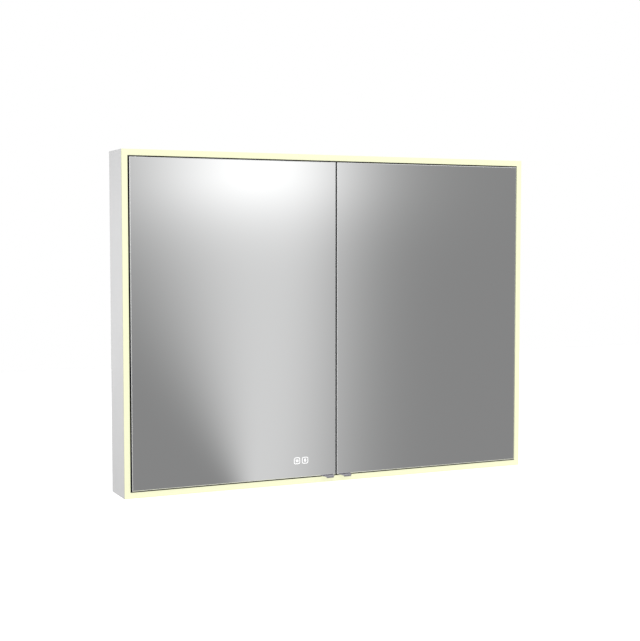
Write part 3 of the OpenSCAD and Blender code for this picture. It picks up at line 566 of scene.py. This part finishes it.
profileTint = (0.52, 0.52, 0.523, 1)
finishes = {
    "anodised_profile": drawnMetal("anodisedUpright", profileTint, 0.42, axisZ, metallic=0.35),
    "door_profile": drawnMetal("doorProfile", (0.55, 0.56, 0.58, 1), 0.38, axisZ),
    "cast_cleat": turnedSteel("castCleat", (0.46, 0.46, 0.47, 1), 0.58),
    "white_enamel": coatedMetal("whiteEnamel", (0.86, 0.86, 0.85, 1), 0.40),
    "white_aluminium": coatedMetal("whiteCoat", (0.79, 0.79, 0.78, 1), 0.48, peel=520),
    "zinc_steel": platedSteel("zincPlate", (0.62, 0.63, 0.65, 1), 0.43),
    "screw_steel": turnedSteel("screwSteel", (0.66, 0.66, 0.66, 1), 0.34),
    "pin_steel": turnedSteel("brightPin", (0.80, 0.80, 0.80, 1), 0.18),
    "dark_enamel": coatedMetal("hingeEnamel", (0.045, 0.045, 0.05, 1), 0.5, peel=800),
    "shelf_glass": shelfGlass("shelfFace", (0.97, 0.99, 0.985, 1), 0.0, 1.0),
    "tab_metal": drawnMetal("tabMetal", (0.70, 0.685, 0.745, 1), 0.36, axisX, lines=1400),
    "dark_plastic": moulded("darkPlastic", (0.035, 0.035, 0.038, 1), 0.5),
    "white_plastic": moulded("whitePlastic", (0.82, 0.82, 0.81, 1), 0.42),
    "clear_silicone": moulded("silicone", (0.86, 0.90, 0.92, 1), 0.34, clear=0.55),
    "black_rubber": moulded("blackRubber", (0.02, 0.02, 0.02, 1), 0.72, grain=900),
    "board_white": circuitBoard("lightBoard", (0.82, 0.83, 0.81, 1), (0.75, 0.72, 0.66, 1),
                                (0.70, 0.71, 0.69, 1)),
    "board_green": circuitBoard("touchBoard", (0.015, 0.12, 0.05, 1), (0.83, 0.62, 0.28, 1),
                                (0.03, 0.22, 0.10, 1)),
    "chip_phosphor": litFrost("phosphor", (0.95, 0.80, 0.30, 1), 0.8),
    "film_amber": heaterFilm("heaterFilm", (0.58, 0.30, 0.05, 1), (0.70, 0.70, 0.68, 1)),
    "honeycomb": combCore("honeycomb", (0.52, 0.38, 0.24, 1)),
    "etched_symbol": litFrost("etchedSymbol", (0.98, 0.98, 0.98, 1), 0.55),
}
levelProfile = drawnMetal("anodisedLevel", profileTint, 0.42, axisX, metallic=0.35)
shelfEdge = shelfGlass("shelfEdge", (0.30, 0.53, 0.47, 1), 0.06, 0.55)
chipBody = moulded("chipBody", (0.88, 0.88, 0.85, 1), 0.35)
buildFloor(paleFloor("paleFloor"))
print("finishes:", len(bpy.data.materials), "materials")


def finishOf(node):
    if node in ("top_profile", "bottom_profile"):
        return levelProfile
    if slotOf[node] == "mirror_glass":
        return mirrorGlass(node + "_glass", node)
    if slotOf[node] == "opal_diffuser":
        return opalGlow(node + "_opal", node)
    return finishes[slotOf[node]]


weldDistance = 0.002 * millimetre


# A copy of a CAD node with its loose triangles joined
def mergedCopy(node):
    mesh = bmesh.new()
    mesh.from_mesh(frame["nodes"][node].data)
    bmesh.ops.remove_doubles(mesh, verts=mesh.verts, dist=weldDistance)
    return mesh


def finishedMesh(mesh, name):
    data = bpy.data.meshes.new(name)
    mesh.to_mesh(data)
    mesh.free()
    return data


def newObject(name, mesh):
    piece = bpy.data.objects.new(name, mesh)
    scene.collection.objects.link(piece)
    return piece


# The evaluated shape of an object as a plain mesh; the maker object is removed
def bakeShape(maker, name):
    graph = bpy.context.evaluated_depsgraph_get()
    mesh = bpy.data.meshes.new_from_object(maker.evaluated_get(graph))
    mesh.name = name
    bpy.data.objects.remove(maker)
    return mesh


# Makes a piece stand for a CAD node
def standFor(piece, node):
    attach(piece, bodyOf[node])
    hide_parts(node)


def camelName(node):
    first, *rest = node.split("_")
    return first + "".join(word.capitalize() for word in rest)


# Angles between neighbouring faces, in degrees
edgeAngles = {"flat": 0.5, "rounded": 35, "smoothCopy": 30, "smoothScatter": 32}
flatLimit = math.radians(edgeAngles["flat"])


# Curved faces and the faces of a rounded edge, which carry material 1, are shaded smooth. Broad
# flat faces stay flat, so that they aren't shaded like pillows.
def shadeSmooth(shape, degrees):
    mesh = bmesh.new()
    mesh.from_mesh(shape)
    limit = math.radians(degrees)

    def bends(edge, face):
        others = [other for other in edge.link_faces if other is not face]
        return (len(others) == 1 and others[0].material_index == face.material_index
                and flatLimit < edge.calc_face_angle() < limit)

    for face in mesh.faces:
        face.smooth = face.material_index == 1 or any(bends(edge, face) for edge in face.edges)
    for edge in mesh.edges:
        edge.smooth = len(edge.link_faces) != 2 or edge.calc_face_angle() < limit
    mesh.to_mesh(shape)
    mesh.free()


# Real edges are never quite sharp. Each node here is stood for by a copy of it with its edges
# rounded: radius in millimetres, number of steps.
roundedEdges = {
    "left_side_profile": (0.25, 2), "right_side_profile": (0.25, 2),
    "top_profile": (0.25, 2), "bottom_profile": (0.25, 2),
    "corner_cleats": (0.35, 2), "centre_partition": (0.3, 2), "driver_cover": (0.45, 3),
    "upper_hinge_plates": (0.25, 2), "lower_hinge_plates": (0.25, 2), "hinge_pins": (0.3, 3),
    "hinge_washers": (0.25, 2), "catch_housings": (0.3, 2), "catch_magnets": (0.2, 2),
    "light_driver": (0.6, 3), "terminal_block": (0.5, 2), "mains_grommet": (0.5, 3),
    "wall_rail": (0.3, 2), "hook_rail": (0.3, 2), "lower_wall_brackets": (0.3, 2),
    "access_caps": (0.35, 3), "left_door_frame": (0.25, 2), "right_door_frame": (0.25, 2),
    "left_hinge_blocks": (0.3, 2), "right_hinge_blocks": (0.3, 2),
    "left_handle": (0.35, 4), "right_handle": (0.35, 4),
    "left_strike_plates": (0.2, 2), "right_strike_plates": (0.2, 2),
    "light_boards": (0.15, 1), "touch_board": (0.15, 1),
}


# Flat regions become whole faces first, so that only real edges are rounded
def roundedCopy(node, radius, steps):
    mesh = mergedCopy(node)
    bmesh.ops.dissolve_limit(mesh, angle_limit=flatLimit, verts=mesh.verts, edges=mesh.edges)
    data = finishedMesh(mesh, node)
    maker = newObject("maker", data)
    bevel = maker.modifiers.new("edges", "BEVEL")
    bevel.width = radius * millimetre
    bevel.segments = steps
    bevel.limit_method = "ANGLE"
    bevel.angle_limit = math.radians(edgeAngles["rounded"])
    bevel.use_clamp_overlap = False
    bevel.miter_outer = "MITER_ARC"
    bevel.material = 1
    data.materials.append(None)
    data.materials.append(None)
    shape = bakeShape(maker, camelName(node))
    shadeSmooth(shape, edgeAngles["smoothCopy"])
    for face in shape.polygons:
        face.material_index = 0
    shape.materials.clear()
    shape.materials.append(finishOf(node))
    piece = newObject(camelName(node), shape)
    standFor(piece, node)
    return piece


for node, (radius, steps) in roundedEdges.items():
    roundedCopy(node, radius, steps)
print("rounded copies:", len(roundedEdges))

# The shelves: clear faces with greener, rounded and polished edges
shelfLook = {"radius": 0.6, "steps": 3, "level": 0.999,
             "nodes": ("left_upper_shelf", "left_lower_shelf", "right_upper_shelf",
                       "right_lower_shelf")}
for node in shelfLook["nodes"]:
    shelf = roundedCopy(node, shelfLook["radius"], shelfLook["steps"])
    shelf.data.materials.append(shelfEdge)
    for face in shelf.data.polygons:
        face.material_index = 0 if abs(face.normal.z) > shelfLook["level"] else 1
print("shelves:", len(shelfLook["nodes"]))


# The separate solids of a CAD node in a fixed order, each as its lowest and highest corner and
# its points
def solidsOf(node):
    mesh = mergedCopy(node)
    found = []
    for first in mesh.verts:
        if first.tag:
            continue
        first.tag = True
        group, waiting = [], [first]
        while waiting:
            vertex = waiting.pop()
            group.append(vertex.co.copy())
            for edge in vertex.link_edges:
                other = edge.other_vert(vertex)
                if not other.tag:
                    other.tag = True
                    waiting.append(other)
        low = Vector([min(point[k] for point in group) for k in range(3)])
        high = Vector([max(point[k] for point in group) for k in range(3)])
        found.append((low, high, group))
    mesh.free()
    found.sort(key=lambda solid: [round(part, 5) for part in (*solid[0], *solid[1])])
    return found


# Where a turned part lies: its end point, which way its head looks, and its radii. The head is
# the end with the wider ring of points, and each ring is read within a share of the length.
turnedRead = {"headZone": 0.25, "tipZone": 0.02}


def readTurned(solid, axis):
    low, high, group = solid
    centre = (low + high) / 2
    reach = (high - low)[axis]

    def ringRadius(towards, share):
        limit = reach * (0.5 - share)
        ring = [p for p in group if (p[axis] - centre[axis]) * towards >= limit]
        return max(math.hypot(*[(p - centre)[k] for k in range(3) if k != axis]) for p in ring)

    zone = turnedRead["headZone"]
    head = 1 if ringRadius(1, zone) > ringRadius(-1, zone) else -1
    spot = centre.copy()
    spot[axis] += head * reach / 2
    outward = Vector((0, 0, 0))
    outward[axis] = head
    return {"spot": spot, "outward": outward, "length": reach,
            "headRadius": ringRadius(head, zone),
            "radius": ringRadius(-head, turnedRead["tipZone"])}


onAxis = 1e-7


# Turns an outline of (radius, height) points round Z. It starts and ends on the axis, or it is
# closed on itself as a ring.
def turnedMesh(name, outline, sides, closed=False):
    mesh = bmesh.new()
    rings = []
    for radius, height in outline:
        if radius < onAxis:
            rings.append([mesh.verts.new((0, 0, height))] * sides)
            continue
        angles = [2 * math.pi * k / sides for k in range(sides)]
        rings.append([mesh.verts.new((radius * math.cos(a), radius * math.sin(a), height))
                      for a in angles])
    following = rings[1:] + rings[:1] if closed else rings[1:]
    for upper, lower in zip(rings, following):
        for k in range(sides):
            j = (k + 1) % sides
            corners = list(dict.fromkeys((upper[k], lower[k], lower[j], upper[j])))
            mesh.faces.new(corners)
    bmesh.ops.recalc_face_normals(mesh, faces=mesh.faces)
    return finishedMesh(mesh, name)


# Screws, with the top of the head at the origin and the shank along -Z. Each value is a share:
# root, tip and panDepth of the shank's radius, pitch of its diameter, thread of the pitch,
# panCrown and crossDepth of the head's depth, and the rest of the head's radius.
screwLook = {"sides": 24, "pitch": 0.36, "root": 0.80, "thread": (0.15, 0.4, 0.75), "tip": 0.6,
             "rimIn": 0.94, "rimDown": 0.05, "panDepth": 1.2, "panCrown": 0.8, "panRim": 0.97,
             "panRound": 0.8,    # a smaller power makes a flatter crown
             "domeSteps": 5, "crossArm": 0.56, "crossWidth": 0.13, "crossDepth": 0.42,
             "crossTaper": 0.45,  # how long an arm is at its foot
             "longFrom": 0.9}


# Angles from the top of a dome down to its rim
def quarterArc(steps):
    return [math.pi / 2 * k / steps for k in range(steps + 1)]


# A cross-shaped recess, cut into the head with two tapered bars
def cutCross(maker, arm, width, depth):
    cutters = []
    for turn in (0, math.pi / 2):
        mesh = bmesh.new()
        bmesh.ops.create_cube(mesh, size=2)
        for vertex in mesh.verts:
            narrow = 1 if vertex.co.z > 0 else screwLook["crossTaper"]
            vertex.co = Vector((vertex.co.x * arm * narrow, vertex.co.y * width,
                                vertex.co.z * depth))
        rotation = Matrix.Rotation(turn, 3, "Z")
        bmesh.ops.rotate(mesh, verts=mesh.verts, cent=(0, 0, 0), matrix=rotation)
        cutter = newObject("cutter", finishedMesh(mesh, "cutter"))
        cut = maker.modifiers.new("cross", "BOOLEAN")
        cut.operation = "DIFFERENCE"
        cut.object = cutter
        cutters.append(cutter)
    shape = bakeShape(maker, "screw")
    for cutter in cutters:
        bpy.data.objects.remove(cutter)
    return shape


def screwShape(radius, headRadius, length, countersunk):
    if countersunk:
        headDepth = headRadius - radius
        outline = [(0, 0), (headRadius * screwLook["rimIn"], 0),
                   (headRadius, -headRadius * screwLook["rimDown"]), (radius, -headDepth)]
    else:
        headDepth = screwLook["panDepth"] * radius
        crown = headDepth * screwLook["panCrown"]
        outline = [(headRadius * math.sin(a) ** screwLook["panRound"], crown * (math.cos(a) - 1))
                   for a in quarterArc(screwLook["domeSteps"])]
        outline += [(headRadius * screwLook["panRim"], -headDepth), (radius, -headDepth)]
    pitch, root = screwLook["pitch"] * 2 * radius, radius * screwLook["root"]
    crest, rootFrom, rootTo = screwLook["thread"]
    turns = int((length - headDepth - radius) / pitch)
    for k in range(turns):
        depth = -headDepth - k * pitch
        outline += [(radius, depth - pitch * crest), (root, depth - pitch * rootFrom),
                    (root, depth - pitch * rootTo), (radius, depth - pitch)]
    outline += [(radius * screwLook["tip"], -length), (0, -length)]
    maker = newObject("maker", turnedMesh("screw", outline, screwLook["sides"]))
    return cutCross(maker, headRadius * screwLook["crossArm"], headRadius * screwLook["crossWidth"],
                    headDepth * screwLook["crossDepth"])


# Geometry Nodes that set one shape on every point, turn it as the point says, spin it by a
# seeded random angle and give it its finish
def scatterTree():
    tree = bpy.data.node_groups.new("scatter", "GeometryNodeTree")
    sides = {"INPUT": [("Points", "NodeSocketGeometry"), ("Shape", "NodeSocketObject"),
                       ("Size", "NodeSocketFloat"), ("Spin", "NodeSocketFloat"),
                       ("Seed", "NodeSocketInt"), ("Finish", "NodeSocketMaterial")],
             "OUTPUT": [("Pieces", "NodeSocketGeometry")]}
    for side, sockets in sides.items():
        for name, kind in sockets:
            tree.interface.new_socket(name, in_out=side, socket_type=kind)
    start = Wire(tree)
    entry = start.node("NodeGroupInput").output.node
    given = {socket.name: Wire(tree, socket) for socket in entry.outputs if socket.name}
    shape = start.node("GeometryNodeObjectInfo", (), {"Object": given["Shape"], "As Instance": True},
                       "Geometry")
    turn = start.node("GeometryNodeInputNamedAttribute", {"data_type": "FLOAT_VECTOR"},
                      {"Name": "turn"})
    rotation = start.node("FunctionNodeEulerToRotation", (), {0: turn})
    placed = start.node("GeometryNodeInstanceOnPoints", (), {
        "Points": given["Points"], "Instance": shape, "Rotation": rotation, "Scale": given["Size"]})
    angle = start.node("FunctionNodeRandomValue", {"data_type": "FLOAT"},
                       {"Min": 0.0, "Max": 2 * math.pi, "Seed": given["Seed"]}, 1)
    axis = start.node("ShaderNodeCombineXYZ", (), {"Z": angle * given["Spin"]})
    spin = start.node("FunctionNodeEulerToRotation", (), {0: axis})
    spun = start.node("GeometryNodeRotateInstances", (), {"Instances": placed, "Rotation": spin})
    solid = start.node("GeometryNodeRealizeInstances", (), {0: spun})
    dressed = start.node("GeometryNodeSetMaterial", (), {"Geometry": solid,
                                                         "Material": given["Finish"]})
    start.node("NodeGroupOutput", (), {0: dressed})
    return tree


scatter = scatterTree()


# points holds (spot, outward, sideways): Z of the shape goes outward and X goes sideways
def scatterShape(name, body, points, shape, finish, replaced=(), spin=1.0, seed=7):
    cloud = bpy.data.meshes.new("cloud")
    cloud.from_pydata([tuple(spot) for spot, outward, sideways in points], [], [])
    turns = cloud.attributes.new("turn", "FLOAT_VECTOR", "POINT")
    for k, (spot, outward, sideways) in enumerate(points):
        across = outward.cross(sideways)
        rows = Matrix((sideways, across, outward)).transposed()
        turns.data[k].vector = rows.to_euler()
    maker = newObject("maker", cloud)
    model = newObject("model", shape)
    modifier = maker.modifiers.new("scatter", "NODES")
    modifier.node_group = scatter
    given = {"Shape": model, "Size": 1.0, "Spin": spin, "Seed": seed, "Finish": finish}
    for socket in scatter.interface.items_tree:
        if socket.name in given:
            modifier[socket.identifier] = given[socket.name]
    pieces = bakeShape(maker, name)
    shadeSmooth(pieces, edgeAngles["smoothScatter"])
    piece = newObject(name, pieces)
    bpy.data.objects.remove(model)
    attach(piece, body)
    if replaced:
        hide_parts(*replaced)


# Any direction across the given one, for a part that is the same all round
def anySide(outward):
    return Vector((1, 0, 0)) if abs(outward.x) < 0.5 else Vector((0, 0, 1))


def scatterTurned(name, body, turned, shape, slot, replaced=()):
    points = [(one["spot"], one["outward"], anySide(one["outward"])) for one in turned]
    scatterShape(name, body, points, shape, finishes[slot], replaced)


# Screws: node, axis they lie along, countersunk or not. The carcase node holds both kinds, and
# its pan-headed ones are the shorter.
screwKinds = {"hinge_screws": (axisZ, True), "cover_screws": (axisZ, False),
              "left_handle_screws": (axisZ, True), "right_handle_screws": (axisZ, True)}
for node, (axis, countersunk) in screwKinds.items():
    turned = [readTurned(solid, axis) for solid in solidsOf(node)]
    one = turned[0]
    shape = screwShape(one["radius"], one["headRadius"], one["length"], countersunk)
    scatterTurned(camelName(node), bodyOf[node], turned, shape, slotOf[node], (node,))

carcase = [readTurned(solid, axisY) for solid in solidsOf("carcase_screws")]
longest = max(one["length"] for one in carcase)
for name, countersunk in (("cleatScrews", True), ("panelScrews", False)):
    limit = longest * screwLook["longFrom"]
    turned = [one for one in carcase if (one["length"] > limit) == countersunk]
    one = turned[0]
    shape = screwShape(one["radius"], one["headRadius"], one["length"], countersunk)
    scatterTurned(name, "cabinet", turned, shape, "screw_steel",
                  ("carcase_screws",) if countersunk else ())
print("screws are in place")

# Blind rivets: a domed head with the broken mandrel in it, and the formed tail behind. The well's
# points are shares of the mandrel's radius and the head's depth, the tail's of the head's radius
# and depth.
rivetLook = {"sides": 24, "headDepth": 1.1, "mandrel": 0.9, "shank": 0.57, "domeSteps": 5,
             "well": ((0, 0.45), (0.8, 0.5), (1, 0.3)),
             "tail": ((0.9, 1), (0.8, 0.35), (0.4, 0), (0, 0))}
rivets = [readTurned(solid, axisY) for solid in solidsOf("rail_rivets")]
head, tall = rivets[0]["headRadius"], rivets[0]["length"]
shank = head * rivetLook["shank"]
mandrel, rise = rivetLook["mandrel"] * millimetre, rivetLook["headDepth"] * millimetre
rivetOutline = [(mandrel * out, -rise * down) for out, down in rivetLook["well"]]
rivetOutline += [(mandrel + (head - mandrel) * math.sin(a), rise * (math.cos(a) - 1))
                 for a in quarterArc(rivetLook["domeSteps"])]
rivetOutline += [(shank, -rise), (shank, rise - tall)]
rivetOutline += [(head * out, rise * up - tall) for out, up in rivetLook["tail"]]
scatterTurned("railRivets", "cabinet", rivets,
              turnedMesh("rivet", rivetOutline, rivetLook["sides"]), "screw_steel", ("rail_rivets",))
print("rivets:", len(rivets))

# Shelf pins with a rounded nose, a grooved shank and a collar, and their soft ribbed sleeves
pinLook = {"sides": 28, "nose": 0.7, "noseBreak": 0.3, "collar": 1.5, "groove": 0.15, "grooves": 4,
           "firstGroove": 0.15, "grooveStep": 0.17, "collarFrom": 1.2}
sleeveLook = {"sides": 28, "ribs": 4, "rib": 0.18, "bore": 2.52, "ribPlaces": (0.12, 0.3, 0.7, 0.88)}
pins = solidsOf("shelf_pins")
firstPin = readTurned(pins[0], axisX)
pinRadius, pinLong = firstPin["radius"], firstPin["length"]
pinCollar = max((high - low).z for low, high, group in pins) / 2
sleeves = solidsOf("shelf_pin_sleeves")
sleeveRadius = max((high - low).z for low, high, group in sleeves) / 2
sleeveLong = (sleeves[0][1] - sleeves[0][0]).x


# A pin's collar sits where its solid is widest, so its place along the pin is read from there
def collarPlace(solid):
    low, high, group = solid
    centre = (low + high) / 2
    limit = pinRadius * pinLook["collarFrom"]
    wide = [p.x for p in group if math.hypot(p.y - centre.y, p.z - centre.z) > limit]
    return min(wide), max(wide)


pinPoints = []
for solid in pins:
    low, high, group = solid
    collarLow, collarHigh = collarPlace(solid)
    centre = (low + high) / 2
    outwards = 1 if high.x - collarHigh > collarLow - low.x else -1
    wall = collarLow if outwards > 0 else collarHigh
    pinPoints.append((Vector((wall, centre.y, centre.z)), Vector((outwards, 0, 0)),
                      Vector((0, 0, 1))))
    pinOut = high.x - wall if outwards > 0 else wall - low.x
pinIn = pinLong - pinOut
nose, collar = pinLook["nose"] * millimetre, pinLook["collar"] * millimetre
groove, noseBreak = pinLook["groove"] * millimetre, nose * pinLook["noseBreak"]
pinOutline = [(0, pinOut), (pinRadius - nose, pinOut), (pinRadius - noseBreak, pinOut - noseBreak),
              (pinRadius, pinOut - nose), (pinRadius, collar), (pinCollar - groove, collar),
              (pinCollar, collar - groove), (pinCollar, groove), (pinCollar - groove, 0),
              (pinRadius, 0)]
for k in range(pinLook["grooves"]):
    depth = -pinIn * (pinLook["firstGroove"] + pinLook["grooveStep"] * k)
    pinOutline += [(pinRadius, depth), (pinRadius - groove, depth - groove),
                   (pinRadius - groove, depth - 2 * groove), (pinRadius, depth - 3 * groove)]
pinOutline += [(pinRadius, nose - pinIn), (pinRadius - nose, -pinIn), (0, -pinIn)]
scatterShape("shelfPins", "cabinet", pinPoints, turnedMesh("pin", pinOutline, pinLook["sides"]),
             finishes["pin_steel"], ("shelf_pins",))

bore, rib = sleeveLook["bore"] * millimetre, sleeveLook["rib"] * millimetre
valley, step = sleeveRadius - rib, sleeveLong / sleeveLook["ribs"]
sleeveOutline = [(bore, 0), (valley, 0)]
for k in range(sleeveLook["ribs"]):
    for radius, share in zip((valley, sleeveRadius, sleeveRadius, valley), sleeveLook["ribPlaces"]):
        sleeveOutline.append((radius, step * (k + share)))
sleeveOutline += [(valley, sleeveLong), (bore, sleeveLong)]
sleevePoints = []
for low, high, group in sleeves:
    centre = (low + high) / 2
    sleevePoints.append((Vector((low.x, centre.y, centre.z)), Vector((1, 0, 0)), Vector((0, 0, 1))))
scatterShape("shelfPinSleeves", "cabinet", sleevePoints,
             turnedMesh("sleeve", sleeveOutline, sleeveLook["sides"], closed=True),
             finishes["clear_silicone"], ("shelf_pin_sleeves",))
print("shelf pins:", len(pinPoints))


# Light chips: a white package with a sloped well, and the phosphor that fills the well. The
# phosphor's thickness, the depth of its middle and its dome are shares of the well's depth.
chipLook = {"rim": 0.45, "well": 0.25, "slope": 0.2, "fill": 0.8, "fillMiddle": 0.6, "dome": 0.15}


# A box and its top face
def boxMesh(size, middle):
    mesh = bmesh.new()
    bmesh.ops.create_cube(mesh, size=1)
    bmesh.ops.scale(mesh, verts=mesh.verts, vec=size)
    bmesh.ops.translate(mesh, verts=mesh.verts, vec=(0, 0, middle))
    return mesh, max(mesh.faces, key=lambda face: face.calc_center_median().z)


def chipShapes(length, width, height):
    rim, well = chipLook["rim"] * millimetre, chipLook["well"] * millimetre
    slope = chipLook["slope"] * millimetre
    mesh, top = boxMesh((length, width, height), height / 2)
    bmesh.ops.inset_region(mesh, faces=[top], thickness=rim)
    bmesh.ops.inset_region(mesh, faces=[top], thickness=slope, depth=-well)
    package = finishedMesh(mesh, "package")
    inset = 2 * (rim + slope)
    mesh, top = boxMesh((length - inset, width - inset, well * chipLook["fill"]),
                        height - well * chipLook["fillMiddle"])
    bmesh.ops.inset_region(mesh, faces=[top], thickness=slope, depth=well * chipLook["dome"])
    return package, finishedMesh(mesh, "phosphor")


chips = solidsOf("light_chips")
chipSize = chips[0][1] - chips[0][0]
chipLong, chipShort = max(chipSize.x, chipSize.z), min(chipSize.x, chipSize.z)
chipPoints = []
for low, high, group in chips:
    centre = (low + high) / 2
    upright = (high - low).z > (high - low).x
    chipPoints.append((Vector((centre.x, high.y, centre.z)), Vector((0, -1, 0)),
                       Vector((0, 0, 1)) if upright else Vector((1, 0, 0))))
packageShape, phosphorShape = chipShapes(chipLong, chipShort, chipSize.y)
scatterShape("chipPackages", "cabinet", chipPoints, packageShape, chipBody, (), 0.0)
scatterShape("chipPhosphor", "cabinet", chipPoints, phosphorShape, finishes["chip_phosphor"],
             ("light_chips",), 0.0)
print("light chips:", len(chipPoints))

# The nodes whose CAD shape is right as it is keep it, with a finish of their own
kept = [node for node in frame["nodes"] if not frame["nodes"][node].hide_render]
for node in kept:
    mesh = frame["nodes"][node].data
    for index in range(len(mesh.materials)):
        mesh.materials[index] = finishOf(node)
print("kept CAD shapes:", ", ".join(sorted(kept)))
